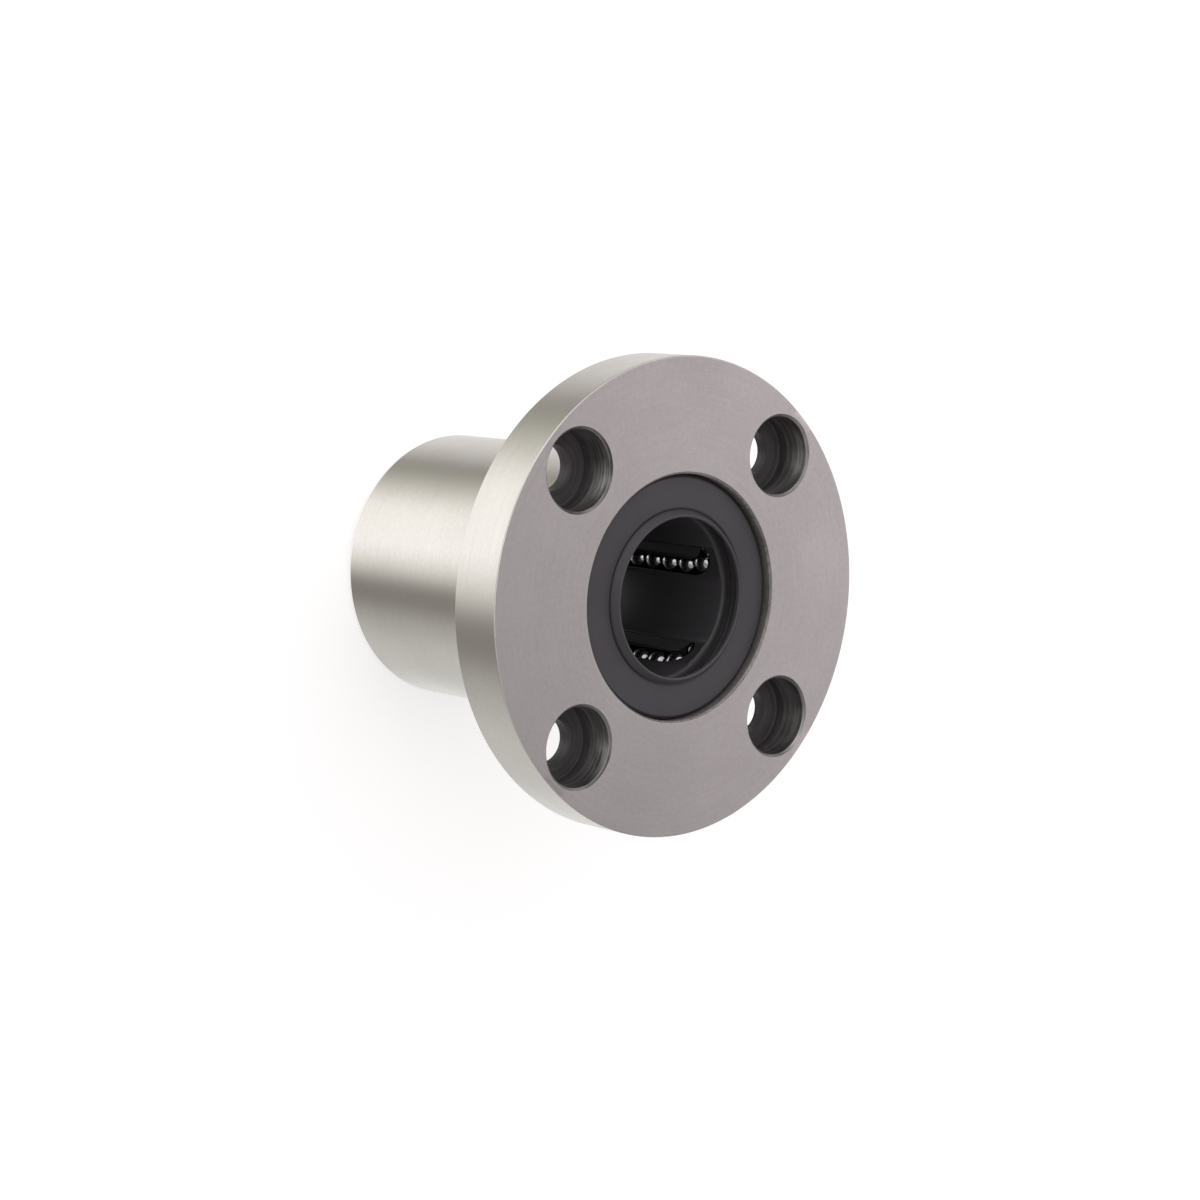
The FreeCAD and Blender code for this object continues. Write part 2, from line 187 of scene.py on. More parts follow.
def ease(tree, sockets):
    """A share from 0 to 1 that starts and ends gently."""
    made = add_node(tree, "ShaderNodeMapRange", sockets, interpolation_type="SMOOTHSTEP")
    return made.outputs["Result"]


# Noise keeps between these two values, and breaks up this much from scale to scale.
NOISE_LOW = 0.34
NOISE_HIGH = 0.66
NOISE_ROUGHNESS = 0.6


def stretch(tree, value):
    """Noise, which keeps near its middle, stretched from 0 to 1."""
    sockets = {"Value": value, "From Min": NOISE_LOW, "From Max": NOISE_HIGH}
    return add_node(tree, "ShaderNodeMapRange", sockets).outputs["Result"]


def noise(tree, place, scale, detail):
    """Noise at a place, with so many scales of detail."""
    sockets = {"Vector": place, "Scale": scale, "Detail": detail, "Roughness": NOISE_ROUGHNESS}
    return add_node(tree, "ShaderNodeTexNoise", sockets).outputs[0]


def mix_colours(tree, factor, first, second):
    """The first colour where the factor is 0 and the second where it is 1."""
    sockets = {"Factor": factor, FIRST_COLOUR: first, SECOND_COLOUR: second}
    return add_node(tree, "ShaderNodeMix", sockets, data_type="RGBA").outputs[MIXED_COLOUR]


def two_tones(tree, factor, dark, pale):
    """A finish's colour, between its dark and its pale tone."""
    return mix_colours(tree, factor, (*dark, 1.0), (*pale, 1.0))


def new_effect(name, inputs, outputs):
    """An empty node group with float or vector inputs and float outputs."""
    group = bpy.data.node_groups.new(name, "ShaderNodeTree")
    for label, kind in inputs.items():
        group.interface.new_socket(label, in_out="INPUT", socket_type="NodeSocket" + kind)
    for label in outputs:
        group.interface.new_socket(label, in_out="OUTPUT", socket_type="NodeSocketFloat")
    entry = group.nodes.new("NodeGroupInput").outputs
    leaving = group.nodes.new("NodeGroupOutput").inputs
    return group, entry, leaving


def place_effect(tree, group, sockets):
    """The outputs of an effect that is placed in a material."""
    return add_node(tree, "ShaderNodeGroup", sockets, node_tree=group).outputs


def turned_place_effect():
    """Where a point lies on a turned piece: round the axis, out from it and along it."""
    group, entry, leaving = new_effect("turned_place", {"Place": "Vector"}, ["Round", "Out", "Along"])
    parts = add_node(group, "ShaderNodeSeparateXYZ", {0: entry["Place"]}).outputs
    round_axis = maths(group, "ARCTAN2", parts["Y"], parts["X"])
    across = add_node(group, "ShaderNodeCombineXYZ", {"X": parts["X"], "Y": parts["Y"]}).outputs[0]
    out = add_node(group, "ShaderNodeVectorMath", {0: across}, operation="LENGTH").outputs["Value"]
    group.links.new(round_axis, leaving["Round"])
    group.links.new(out, leaving["Out"])
    group.links.new(parts["Z"], leaving["Along"])
    return group


LINE_DETAIL = 3.0


def tool_lines_effect():
    """Fine lines left by a wheel or a tool: close together across the feed, long round the turn."""
    inputs = {"Across": "Float", "Round": "Float", "Lines per Metre": "Float", "Breaks": "Float"}
    group, entry, leaving = new_effect("tool_lines", inputs, ["Lines"])
    across = maths(group, "MULTIPLY", entry["Across"], entry["Lines per Metre"])
    breaks = maths(group, "MULTIPLY", maths(group, "SINE", entry["Round"]), entry["Breaks"])
    other = maths(group, "MULTIPLY", maths(group, "COSINE", entry["Round"]), entry["Breaks"])
    place = add_node(group, "ShaderNodeCombineXYZ", {"X": across, "Y": breaks, "Z": other}).outputs[0]
    group.links.new(noise(group, place, 1.0, LINE_DETAIL), leaving["Lines"])
    return group


SPECK_DETAIL = 4.0
CLOUD_DETAIL = 2.0


def grain_effect():
    """Fine mottle, as a worn wheel or a mould leaves it, and broad clouds of oil or wiping."""
    inputs = {"Place": "Vector", "Specks per Metre": "Float", "Clouds per Metre": "Float"}
    group, entry, leaving = new_effect("surface_grain", inputs, ["Specks", "Clouds"])
    specks = noise(group, entry["Place"], entry["Specks per Metre"], SPECK_DETAIL)
    group.links.new(specks, leaving["Specks"])
    clouds = noise(group, entry["Place"], entry["Clouds per Metre"], CLOUD_DETAIL)
    group.links.new(clouds, leaving["Clouds"])
    return group


# The share of light that the painted shade leaves in the deepest corner.
SHADED_CORNER_SHARE = 0.12


def corner_shade_effect():
    """Painted shade on a wall: full light at its open edge, darkening towards the corner where shade
    falls.
    """
    inputs = {"Reach": "Float", "Corner": "Float", "Open Edge": "Float"}
    group, entry, leaving = new_effect("corner_shade", inputs, ["Clean"])
    sockets = {"Value": entry["Reach"], "From Min": entry["Corner"], "From Max": entry["Open Edge"]}
    share = ease(group, sockets)
    group.links.new(spread(group, share, SHADED_CORNER_SHARE, 1.0), leaving["Clean"])
    return group


TURNED_PLACE = turned_place_effect()
TOOL_LINES = tool_lines_effect()
SURFACE_GRAIN = grain_effect()
CORNER_SHADE = corner_shade_effect()


def new_finish(name):
    """A material with its shader, and the place of a point on the piece."""
    material = bpy.data.materials.new(name)
    material.use_nodes = True
    tree = material.node_tree
    shader = tree.nodes["Principled BSDF"]
    place = add_node(tree, "ShaderNodeTexCoord").outputs["Object"]
    return material, tree, shader, place


def raise_surface(tree, shader, height, depth, strength):
    """Relief too fine for the mesh."""
    sockets = {"Height": height, "Distance": depth, "Strength": strength}
    bump = add_node(tree, "ShaderNodeBump", sockets)
    tree.links.new(bump.outputs[0], shader.inputs["Normal"])


# Worked steel: clouds per metre, shares of lines and clouds, spread of roughness, strength of relief.
STEEL_CLOUDS = 90.0
STEEL_LINE_SHARE = 0.5
STEEL_CLOUD_SHARE = 0.35
STEEL_ROUGH_SPREAD = 0.04
STEEL_RELIEF = 0.5


def worked_steel(
    name, across, lines, dark, pale, rough, specks, depth, breaks=2.0, corner=None, bright=1.0
):
    """Steel with the lines of its last working, fine specks, clouds of oil from wiping, and painted
    shade that darkens it towards a corner.

    A dull film, where bright is less than 1, hides part of the metal.
    """
    material, tree, shader, place = new_finish(name)
    turned = place_effect(tree, TURNED_PLACE, {"Place": place})
    sockets = {
        "Across": turned[across],
        "Round": turned["Round"],
        "Lines per Metre": lines,
        "Breaks": breaks,
    }
    tool_lines = place_effect(tree, TOOL_LINES, sockets)["Lines"]
    sockets = {"Place": place, "Specks per Metre": specks, "Clouds per Metre": STEEL_CLOUDS}
    grain = place_effect(tree, SURFACE_GRAIN, sockets)
    texture = weigh(tree, tool_lines, STEEL_LINE_SHARE, grain["Specks"])
    tone = stretch(tree, weigh(tree, grain["Clouds"], STEEL_CLOUD_SHARE, texture))
    roughness = spread(tree, tone, rough + STEEL_ROUGH_SPREAD, rough - STEEL_ROUGH_SPREAD)
    tree.links.new(roughness, shader.inputs["Roughness"])
    # Painted shade: where a corner is given, the tone darkens towards it, as shade falls in a recess.
    if corner is not None:
        reach = maths(tree, "ABSOLUTE", maths(tree, "SUBTRACT", turned["Along"], MIDDLE))
        sockets = {"Reach": reach, "Corner": corner - MIDDLE, "Open Edge": FRONT_FACE - MIDDLE}
        tone = maths(tree, "MULTIPLY", tone, place_effect(tree, CORNER_SHADE, sockets)["Clean"])
    tree.links.new(two_tones(tree, tone, dark, pale), shader.inputs["Base Color"])
    shader.inputs["Metallic"].default_value = bright
    raise_surface(tree, shader, texture, depth, STEEL_RELIEF)
    return material


# Counterbores: cutter rings per metre and how they break, scale clouds, tones (the dark one also painted
# shade), roughness and relief.
CUTTER_RINGS = 2600.0
CUTTER_RING_BREAKS = 0.6
CUTTER_RING_DEPTH = 0.06 * MM
CUTTER_RELIEF = 0.7
SCALE_CLOUDS = 260.0
SCALE_CLOUD_SHARE = 0.4
SCALE_AND_SHADE_TONE = (0.040, 0.037, 0.040)
SCALE_ROUGH = 0.55
CLEAN_TONE = (0.42, 0.41, 0.405)
CLEAN_ROUGH = 0.40


def counterbore_steel():
    """Cutter rings and random clouds round each bolt hole, with painted shade that darkens the walls
    towards the bottom.
    """
    material, tree, shader, place = new_finish("counterbore_steel")
    folded = add_node(tree, "ShaderNodeVectorMath", {0: place}, operation="ABSOLUTE").outputs[0]
    centre = BOLT_CIRCLE_RADIUS * math.sin(FIRST_BOLT_ANGLE)
    sockets = {"Vector": folded, "Location": (-centre, -centre, 0.0)}
    centred = add_node(tree, "ShaderNodeMapping", sockets).outputs[0]
    turned = place_effect(tree, TURNED_PLACE, {"Place": centred})
    sockets = {
        "Across": maths(tree, "ADD", turned["Out"], turned["Along"]),
        "Round": turned["Round"],
        "Lines per Metre": CUTTER_RINGS,
        "Breaks": CUTTER_RING_BREAKS,
    }
    rings = place_effect(tree, TOOL_LINES, sockets)["Lines"]
    sockets = {"Place": place, "Clouds per Metre": SCALE_CLOUDS}
    clouds = place_effect(tree, SURFACE_GRAIN, sockets)["Clouds"]
    mottle = weigh(tree, clouds, SCALE_CLOUD_SHARE, rings)
    # Painted shade: the wall darkens from its open edge down to the counterbore's floor, and loses its
    # metal there too.
    sockets = {"Reach": turned["Along"], "Corner": COUNTERBORE_FLOOR, "Open Edge": COUNTERBORE_SHADE_END}
    lit_share = place_effect(tree, CORNER_SHADE, sockets)["Clean"]
    tone = maths(tree, "MULTIPLY", stretch(tree, mottle), lit_share)
    tree.links.new(two_tones(tree, tone, SCALE_AND_SHADE_TONE, CLEAN_TONE), shader.inputs["Base Color"])
    tree.links.new(lit_share, shader.inputs["Metallic"])
    tree.links.new(spread(tree, tone, SCALE_ROUGH, CLEAN_ROUGH), shader.inputs["Roughness"])
    raise_surface(tree, shader, rings, CUTTER_RING_DEPTH, CUTTER_RELIEF)
    return material


# Moulded pieces: clouds per metre and their share, the painted shade tone at a lip's root, roughness and
# relief.
MOULD_CLOUDS = 160.0
MOULD_CLOUD_SHARE = 0.5
ROOT_SHADE_TONE = (0.010, 0.010, 0.011, 1.0)
MOULD_ROUGH_SPREAD = 0.12
MOULD_RELIEF = 0.4


def moulded_finish(name, dark, pale, rough, specks, depth, root=None):
    """A moulded resin or rubber with the fine grain of its mould, and painted shade along the root of a
    lip.
    """
    material, tree, shader, place = new_finish(name)
    sockets = {"Place": place, "Specks per Metre": specks, "Clouds per Metre": MOULD_CLOUDS}
    grain = place_effect(tree, SURFACE_GRAIN, sockets)
    tone = weigh(tree, grain["Clouds"], MOULD_CLOUD_SHARE, grain["Specks"])
    colour = two_tones(tree, tone, dark, pale)
    # Painted shade: a dark tone along the crease at the root of a lip.
    if root is not None:
        out = place_effect(tree, TURNED_PLACE, {"Place": place})["Out"]
        away = maths(tree, "ABSOLUTE", maths(tree, "SUBTRACT", out, root))
        clear = ease(tree, {"Value": away, "From Max": LIP_GROOVE_WIDTH})
        colour = mix_colours(tree, clear, ROOT_SHADE_TONE, colour)
    tree.links.new(colour, shader.inputs["Base Color"])
    roughness = spread(tree, tone, rough + MOULD_ROUGH_SPREAD, rough - MOULD_ROUGH_SPREAD)
    tree.links.new(roughness, shader.inputs["Roughness"])
    raise_surface(tree, shader, grain["Specks"], depth, MOULD_RELIEF)
    return material


GROUND_STEEL = worked_steel(
    "ground_steel", across="Along", lines=9000.0, rough=0.24, specks=2500.0, depth=0.004 * MM,
    dark=(0.565, 0.55, 0.52), pale=(0.635, 0.62, 0.59),
)
FACED_STEEL = worked_steel(
    "faced_steel", across="Out", lines=7000.0, rough=0.38, specks=2200.0, depth=0.006 * MM,
    dark=(0.52, 0.495, 0.49), pale=(0.66, 0.635, 0.63),
)
# The recess wall's dark tone and its darkening towards the seal's back are painted shade.
RECESS_STEEL = worked_steel(
    "recess_steel", across="Along", lines=6000.0, rough=0.60, specks=2500.0, depth=0.008 * MM,
    dark=(0.07, 0.066, 0.062), pale=(0.36, 0.345, 0.325), bright=0.45,
    corner=SEAL_LOW.z + RECESS_SHADE_HEIGHT,
)
BORE_STEEL = worked_steel(
    "bore_steel", across="Along", lines=5000.0, rough=0.36, specks=2500.0, depth=0.004 * MM,
    dark=(0.22, 0.21, 0.20), pale=(0.42, 0.41, 0.40),
)
SPRING_STEEL = worked_steel(
    "spring_steel", across="Out", lines=6000.0, rough=0.34, specks=3000.0, depth=0.004 * MM,
    dark=(0.26, 0.26, 0.265), pale=(0.44, 0.44, 0.45),
)
BALL_STEEL = worked_steel(
    "ball_steel", across="Along", lines=9000.0, rough=0.10, specks=6000.0, depth=0.0006 * MM,
    dark=(0.34, 0.34, 0.35), pale=(0.46, 0.46, 0.475), breaks=6.0,
)
COUNTERBORE_STEEL = counterbore_steel()
SEAL_RUBBER = moulded_finish(
    "seal_rubber", rough=0.46, specks=5200.0, depth=0.03 * MM,
    dark=(0.034, 0.032, 0.038), pale=(0.066, 0.063, 0.071),
    root=LIP_ROOT_RADIUS + ROOT_SHADE_SHIFT,
)
RETAINER_RESIN = moulded_finish(
    "retainer_resin", rough=0.44, specks=4200.0, depth=0.02 * MM,
    dark=(0.024, 0.0225, 0.025), pale=(0.043, 0.0415, 0.045),
)
SLEEVE_FINISHES = [GROUND_STEEL, FACED_STEEL, RECESS_STEEL, BORE_STEEL]


def smooth_but_corners(mesh):
    """Shades a mesh smooth over its curves and sharp at its corners."""
    mesh.shade_smooth()
    mesh.set_sharp_from_angle(angle=SHARP_ANGLE)


def new_piece(name, bm, finishes):
    """An object at the origin from a finished bmesh, smooth but for its corners."""
    mesh = bpy.data.meshes.new(name)
    bm.to_mesh(mesh)
    bm.free()
    for finish in finishes:
        mesh.materials.append(finish)
    smooth_but_corners(mesh)
    piece = bpy.data.objects.new(name, mesh)
    bpy.context.scene.collection.objects.link(piece)
    return piece


def turn_section(bm, corners, steps, broken, radius, segments=EDGE_STEPS):
    """Turns a section, given as (radius, height) corners, round the Z axis, broken corners rounded."""
    verts = [bm.verts.new((out, 0.0, height)) for out, height in corners]
    bm.faces.new(verts)
    rounded = [verts[number] for number in broken]
    bmesh.ops.bevel(
        bm, geom=rounded, affect="VERTICES", offset=radius, segments=segments, profile=0.5, material=-1
    )
    section = bm.faces[:]
    bmesh.ops.delete(bm, geom=section, context="FACES_ONLY")
    around = {"axis": (0, 0, 1), "cent": (0, 0, 0), "angle": math.tau, "steps": steps, "use_merge": True}
    bmesh.ops.spin(bm, geom=bm.verts[:] + bm.edges[:], **around)
    bmesh.ops.remove_doubles(bm, verts=bm.verts[:], dist=SEAM_MERGE)
    bmesh.ops.recalc_face_normals(bm, faces=bm.faces[:])


def from_front(corners):
    """The corners at the rear end that mirror corners at the front end."""
    return [(out, 2 * MIDDLE - height) for out, height in corners]


def sleeve_outside():
    """The sleeve's section from its front mouth over the flange and the body to its rear mouth."""
    return [
        (SEAT_RADIUS + MOUTH_EDGE, FRONT_FACE),
        (FLANGE_RADIUS - FLANGE_EDGE, FRONT_FACE),
        (FLANGE_RADIUS, FRONT_FACE - FLANGE_EDGE),
        (FLANGE_RADIUS, FLANGE_EDGE),
        (FLANGE_RADIUS - FLANGE_EDGE, 0.0),
        (BODY_RADIUS, 0.0),
        (BODY_RADIUS, REAR_FACE + REAR_EDGE),
        (BODY_RADIUS - REAR_EDGE, REAR_FACE),
        (SEAT_RADIUS + MOUTH_EDGE, REAR_FACE),
    ]


def sleeve_bore():
    """The sleeve's section along the bore, which is alike at both ends, from rear to front mouth."""
    relief_end = ROW_HIGH.z + ROW_GAP
    front = [
        (RACEWAY_RADIUS, relief_end),
        (RELIEF_RADIUS, relief_end),
        (RELIEF_RADIUS, RETAINER_HIGH.z),
        (GROOVE_RADIUS, RETAINER_HIGH.z),
        (GROOVE_RADIUS, SEAL_LOW.z),
        (SEAT_RADIUS, SEAL_LOW.z),
        (SEAT_RADIUS, FRONT_FACE - MOUTH_EDGE),
    ]
    return from_front(reversed(front)) + front


# A face within this margin of the sleeve's end is part of the end, and a face is flat where its
# normal has more than this share along the axis.
END_MARGIN = 0.01 * MM
FLAT_NORMAL = 0.6


def finish_sleeve_faces(bm):
    """Ground outside, faced flat faces, turned seats for the seals and a hardened bore."""
    end_reach = FRONT_FACE - MIDDLE
    for face in bm.faces:
        centre = face.calc_center_median()
        reach = abs(centre.z - MIDDLE)
        inside = math.hypot(centre.x, centre.y) < BODY_RADIUS - REAR_EDGE
        finish = GROUND_STEEL
        if inside and reach < SEAL_LOW.z - MIDDLE:
            finish = BORE_STEEL
        elif inside and reach < end_reach - END_MARGIN:
            finish = RECESS_STEEL
        elif abs(face.normal.z) > FLAT_NORMAL:
            finish = FACED_STEEL
        face.material_index = SLEEVE_FINISHES.index(finish)


def bolt_hole_cutter():
    """The four counterbored bolt holes as one solid, the edges of the counterbore's floor rounded."""
    bm = bmesh.new()
    corners = [
        (0.0, -CUTTER_REACH),
        (BOLT_HOLE_RADIUS + BOLT_HOLE_EDGE + CUTTER_REACH, -CUTTER_REACH),
        (BOLT_HOLE_RADIUS, BOLT_HOLE_EDGE),
        (BOLT_HOLE_RADIUS, COUNTERBORE_FLOOR),
        (COUNTERBORE_RADIUS, COUNTERBORE_FLOOR),
        (COUNTERBORE_RADIUS, FRONT_FACE - COUNTERBORE_EDGE),
        (COUNTERBORE_RADIUS + COUNTERBORE_EDGE + CUTTER_REACH, FRONT_FACE + CUTTER_REACH),
        (0.0, FRONT_FACE + CUTTER_REACH),
    ]
    floor_corners = [number for number, corner in enumerate(corners) if corner[1] == COUNTERBORE_FLOOR]
    turn_section(bm, corners, HOLE_STEPS, floor_corners, COUNTERBORE_ROUND, COUNTERBORE_ROUND_STEPS)
    first = Vector((BOLT_CIRCLE_RADIUS, 0.0, 0.0))
    bmesh.ops.translate(bm, verts=bm.verts[:], vec=first)
    turn = Matrix.Rotation(FIRST_BOLT_ANGLE, 3, "Z")
    bmesh.ops.rotate(bm, verts=bm.verts[:], cent=(0, 0, 0), matrix=turn)
    pitch = math.tau / BOLT_COUNT
    around = {"axis": (0, 0, 1), "cent": (0, 0, 0), "angle": math.tau - pitch, "steps": BOLT_COUNT - 1}
    bmesh.ops.spin(bm, geom=bm.verts[:] + bm.edges[:] + bm.faces[:], use_duplicate=True, **around)
    return new_piece("bolt_hole_cutter", bm, [COUNTERBORE_STEEL])


def return_channel_cutter(nodes):
    """The channels of the return rows as one solid, where the frame has the rows."""
    bm = bmesh.new()
    ends = {"cap_ends": True, "radius1": CHANNEL_RADIUS, "radius2": CHANNEL_RADIUS}
    for name in nodes:
        low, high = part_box(name)
        length = high.z - low.z + 2 * ROW_GAP
        place = Matrix.Translation((low + high) / 2)
        bmesh.ops.create_cone(bm, segments=CHANNEL_STEPS, depth=length, matrix=place, **ends)
    return new_piece("return_channel_cutter", bm, [BORE_STEEL])


def cut_away(piece, cutters):
    """Takes the cutters' solids out of the piece, with their finish on the cuts, and merges slivers."""
    for cutter in cutters:
        cut = piece.modifiers.new(cutter.name, "BOOLEAN")
        cut.operation = "DIFFERENCE"
        cut.solver = "EXACT"
        cut.material_mode = "TRANSFER"
        cut.object = cutter
    bpy.context.view_layer.update()
    seen = piece.evaluated_get(bpy.context.evaluated_depsgraph_get())
    piece.data = bpy.data.meshes.new_from_object(seen)
    piece.modifiers.clear()
    for cutter in cutters:
        bpy.data.objects.remove(cutter)
    bm = bmesh.new()
    bm.from_mesh(piece.data)
    bmesh.ops.dissolve_degenerate(bm, dist=SLIVER_MERGE, edges=bm.edges[:])
    bm.to_mesh(piece.data)
    bm.free()
    smooth_but_corners(piece.data)


def even_shading(piece):
    """Large flat faces keep their own shading beside small rounded edges."""
    weighted = piece.modifiers.new("even_shading", "WEIGHTED_NORMAL")
    weighted.keep_sharp = True


def fit_piece(piece, body, nodes):
    """Sets a piece on its body in place of its CAD nodes."""
    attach(piece, body)
    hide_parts(*nodes)


def make_sleeve():
    """The sleeve, turned from its section, with its bolt holes and return channels cut."""
    bm = bmesh.new()
    outside = sleeve_outside()
    turn_section(bm, outside + sleeve_bore(), TURNING_STEPS, range(len(outside)), EDGE_BREAK)
    finish_sleeve_faces(bm)
    sleeve = new_piece("turned_sleeve", bm, SLEEVE_FINISHES)
    rows = [name for name in frame["nodes"] if name.startswith("return_balls")]
    cut_away(sleeve, [bolt_hole_cutter(), return_channel_cutter(rows)])
    even_shading(sleeve)
    fit_piece(sleeve, "bearing", ["flanged_sleeve"])


# The corners of a seal's back, by their place in its section, stay square.
SQUARE_SEAL_CORNERS = (2, 3, 4)


def seal_corners():
    """The front seal's section, from the outer edge of its face round the back and over the lip."""
    outer = SEAL_HIGH.x
    crest = SEAL_HIGH.z
    face = FRONT_FACE - SEAL_RECESS
    lip_top = crest - LIP_EDGE
    back_radius = SHAFT_RADIUS + LIP_BACK_WIDTH
    return [
        (outer - SEAL_EDGE, face),
        (outer, face - SEAL_EDGE),
        (outer, SEAL_LOW.z),
        (back_radius, SEAL_LOW.z),
        (back_radius, SEAL_LOW.z + LIP_BACK_LAND),
        (SHAFT_RADIUS, lip_top - LIP_LAND_LENGTH),
        (SHAFT_RADIUS, lip_top),
        (SHAFT_RADIUS + LIP_EDGE, crest),
        (SHAFT_RADIUS + LIP_CREST_WIDTH, crest),
        (LIP_ROOT_RADIUS, face - LIP_GROOVE_DEPTH),
        (LIP_ROOT_RADIUS + LIP_GROOVE_WIDTH, face),
    ]


def make_seal(name, node, corners):
    """A seal, turned from its section."""
    bm = bmesh.new()
    broken = [number for number in range(len(corners)) if number not in SQUARE_SEAL_CORNERS]
    turn_section(bm, corners, TURNING_STEPS, broken, SEAL_ROUND)
    seal = new_piece(name, bm, [SEAL_RUBBER])
    even_shading(seal)
    fit_piece(seal, "bearing", [node])


def make_inner_piece(name, node, finish):
    """A merged copy of a CAD node, smooth over its facets."""
    source = frame["nodes"][node]
    bm = bmesh.new()
    bm.from_mesh(source.data)
    bmesh.ops.remove_doubles(bm, verts=bm.verts[:], dist=SLIVER_MERGE)
    for face in bm.faces:
        face.material_index = 0
    piece = new_piece(name, bm, [finish])
    fit_piece(piece, source["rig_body"], [node])


def make_bearing():
    """All pieces of the bearing, from the sleeve inwards."""
    make_sleeve()
    front = seal_corners()
    make_seal("moulded_front_seal", "front_seal", front)
    make_seal("moulded_rear_seal", "rear_seal", from_front(front))
    make_inner_piece("slotted_retainer", "ball_retainer", RETAINER_RESIN)
    for end in ("front", "rear"):
        node = f"{end}_retaining_ring"
        make_inner_piece(f"{end}_spring_ring", node, SPRING_STEEL)
    for node in sorted(frame["nodes"]):
        if "_balls_" in node:
            make_inner_piece(f"polished_{node}", node, BALL_STEEL)


# The floor: its gap under the object, half width, colour, and glow near the object and far from it.
FLOOR_GAP = 0.02 * MM
FLOOR_HALF_WIDTH = 4.0
FLOOR_COLOUR = (0.8, 0.8, 0.8, 1.0)
FLOOR_NEAR = 0.1
FLOOR_FAR = 0.6
NEAR_GLOW = 0.48
FAR_GLOW = 0.8


def make_floor():
    """A pale floor that takes the shadow, white to its far edge and clear from beneath."""
    bm = bmesh.new()
    bmesh.ops.create_grid(bm, x_segments=1, y_segments=1, size=FLOOR_HALF_WIDTH)
    bmesh.ops.translate(bm, verts=bm.verts[:], vec=(0.0, 0.0, CAD_BOX[0][2] - FLOOR_GAP))
    material = bpy.data.materials.new("studio_floor")
    material.use_nodes = True
    tree = material.node_tree
    tree.nodes.clear()
    matt = add_node(tree, "ShaderNodeBsdfDiffuse", {"Color": FLOOR_COLOUR})
    seen = add_node(tree, "ShaderNodeLightPath").outputs["Is Camera Ray"]
    place = add_node(tree, "ShaderNodeTexCoord").outputs["Object"]
    out = place_effect(tree, TURNED_PLACE, {"Place": place})["Out"]
    far = ease(tree, {"Value": out, "From Min": FLOOR_NEAR, "From Max": FLOOR_FAR})
    glow = maths(tree, "MULTIPLY", seen, spread(tree, far, NEAR_GLOW, FAR_GLOW))
    white = add_node(tree, "ShaderNodeEmission", {"Color": WHITE, "Strength": glow})
    both = add_node(tree, "ShaderNodeAddShader", {0: matt.outputs[0], 1: white.outputs[0]})
    beneath = add_node(tree, "ShaderNodeNewGeometry").outputs["Backfacing"]
    clear = add_node(tree, "ShaderNodeBsdfTransparent")
    shown = add_node(tree, "ShaderNodeMixShader", {0: beneath, 1: both.outputs[0], 2: clear.outputs[0]})
    add_node(tree, "ShaderNodeOutputMaterial", {"Surface": shown.outputs[0]})
    floor = new_piece("studio_floor", bm, [material])
    floor.visible_glossy = False


# Strip lights and gaps round the studio: share of a turn, then the light's red, green and blue.
STUDIO_RING = [
    (0.000, (0.98, 0.96, 0.95)),
    (0.120, (0.93, 0.90, 0.88)),
    (0.170, (0.74, 0.71, 0.70)),
    (0.215, (0.36, 0.35, 0.31)),
    (0.255, (0.55, 0.54, 0.48)),
    (0.300, (0.98, 0.96, 0.90)),
    (0.345, (1.46, 1.43, 1.38)),
    (0.450, (1.58, 1.55, 1.55)),
    (0.497, (1.14, 1.10, 1.04)),
    (0.542, (0.32, 0.30, 0.28)),
    (0.582, (0.31, 0.29, 0.27)),
    (0.625, (0.58, 0.56, 0.54)),
    (0.700, (0.80, 0.78, 0.76)),
    (0.800, (0.82, 0.81, 0.79)),
    (0.890, (0.98, 0.98, 0.96)),
    (1.000, (0.98, 0.96, 0.95)),
]
# Panels and a gap across the ceiling: share of the way towards its bright side, then the light.
BRIGHT_SIDE = (0.55, 0.55, -0.63)
CEILING = [
    (0.000, (0.62, 0.585, 0.59)),
    (0.160, (0.50, 0.47, 0.475)),
    (0.260, (0.24, 0.226, 0.228)),
    (0.365, (0.24, 0.226, 0.228)),
    (0.600, (1.46, 1.365, 1.385)),
    (0.750, (1.00, 0.96, 0.96)),
    (1.000, (0.90, 0.88, 0.88)),
]
# The heights of a direction at which the ceiling starts to take over from the ring, and has taken over.
CEILING_START = -0.1
CEILING_FULL = 0.35


def light_ramp(tree, factor, lights):
    """A colour ramp with a stop for each light, at its place and in its colour."""
    ramp = add_node(tree, "ShaderNodeValToRGB", {"Fac": factor})
    stops = ramp.color_ramp.elements
    places, colours = zip(*lights)
    stops[0].position = places[0]
    stops[1].position = places[-1]
    for place in places[1:-1]:
        stops.new(place)
    for stop, colour in zip(stops, colours):
        stop.color = (*colour, 1.0)
    return ramp.outputs["Color"]


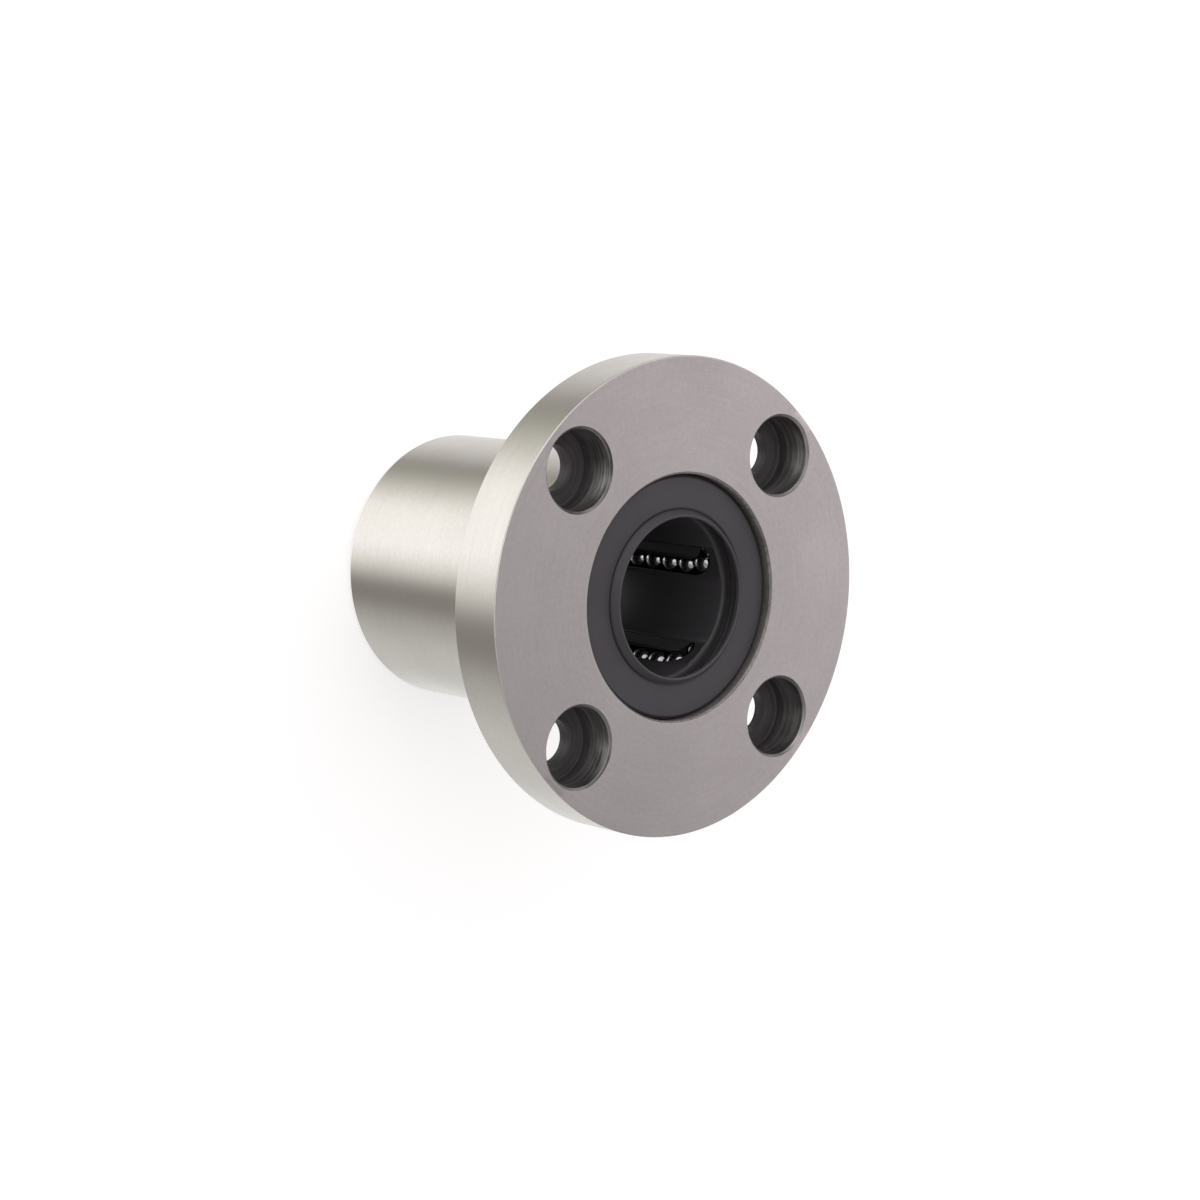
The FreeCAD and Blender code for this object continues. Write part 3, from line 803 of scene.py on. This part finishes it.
def light_studio():
    """Strip lights round the sides and panels across the ceiling, which the camera sees white."""
    world = bpy.data.worlds.new("studio")
    bpy.context.scene.world = world
    world.use_nodes = True
    tree = world.node_tree
    direction = add_node(tree, "ShaderNodeTexCoord").outputs["Generated"]
    parts = add_node(tree, "ShaderNodeSeparateXYZ", {0: direction}).outputs
    angle = maths(tree, "ARCTAN2", parts["Y"], parts["X"])
    turn = maths(tree, "FRACT", maths(tree, "DIVIDE", angle, math.tau))
    ring = light_ramp(tree, turn, STUDIO_RING)
    sockets = {0: direction, 1: BRIGHT_SIDE}
    aside = add_node(tree, "ShaderNodeVectorMath", sockets, operation="DOT_PRODUCT").outputs["Value"]
    half = 0.5
    ceiling = light_ramp(tree, maths(tree, "MULTIPLY_ADD", aside, half, half), CEILING)
    above = ease(tree, {"Value": parts["Z"], "From Min": CEILING_START, "From Max": CEILING_FULL})
    studio = mix_colours(tree, above, ring, ceiling)
    seen = add_node(tree, "ShaderNodeLightPath").outputs["Is Camera Ray"]
    shown = mix_colours(tree, seen, studio, WHITE)
    tree.links.new(shown, tree.nodes["Background"].inputs["Color"])


SOFTBOX_PLACE = Vector((-0.35, 0.30, 0.60))
SOFTBOX_WIDTH = 0.80
SOFTBOX_WATTS = 2.0


def add_softbox():
    """One wide, dim lamp that looks down at the object."""
    light = bpy.data.lights.new("overhead_softbox", "AREA")
    light.size = SOFTBOX_WIDTH
    light.energy = SOFTBOX_WATTS
    lamp = bpy.data.objects.new("overhead_softbox", light)
    bpy.context.scene.collection.objects.link(lamp)
    lamp.location = SOFTBOX_PLACE
    lamp.rotation_euler = (-SOFTBOX_PLACE).to_track_quat("-Z", "Y").to_euler()


# The camera: lens and film in millimetres, its place and nearest distance in metres, and its axes.
CAMERA_LENS = 85.63
CAMERA_FILM = 36.0
CAMERA_NEAREST = 0.01
CAMERA_PLACE = Vector((-0.191327, 0.03749, 0.211182))
CAMERA_RIGHT = Vector((0.75109, 0.00293, 0.66019))
CAMERA_BACK = Vector((-0.6546, 0.1333, 0.74413))


def place_camera():
    """The photograph's view, with the flange face turned to the right."""
    data = bpy.data.cameras.new("photograph")
    data.lens = CAMERA_LENS
    data.sensor_width = CAMERA_FILM
    data.clip_start = CAMERA_NEAREST
    camera = bpy.data.objects.new("photograph", data)
    bpy.context.scene.collection.objects.link(camera)
    back = CAMERA_BACK.normalized()
    up = back.cross(CAMERA_RIGHT.normalized()).normalized()
    right = up.cross(back)
    turn = Matrix((right, up, back)).transposed().to_4x4()
    camera.matrix_world = Matrix.Translation(CAMERA_PLACE) @ turn
    bpy.context.scene.camera = camera


make_bearing()
make_floor()
light_studio()
add_softbox()
place_camera()
bpy.context.scene.view_settings.view_transform = "Standard"
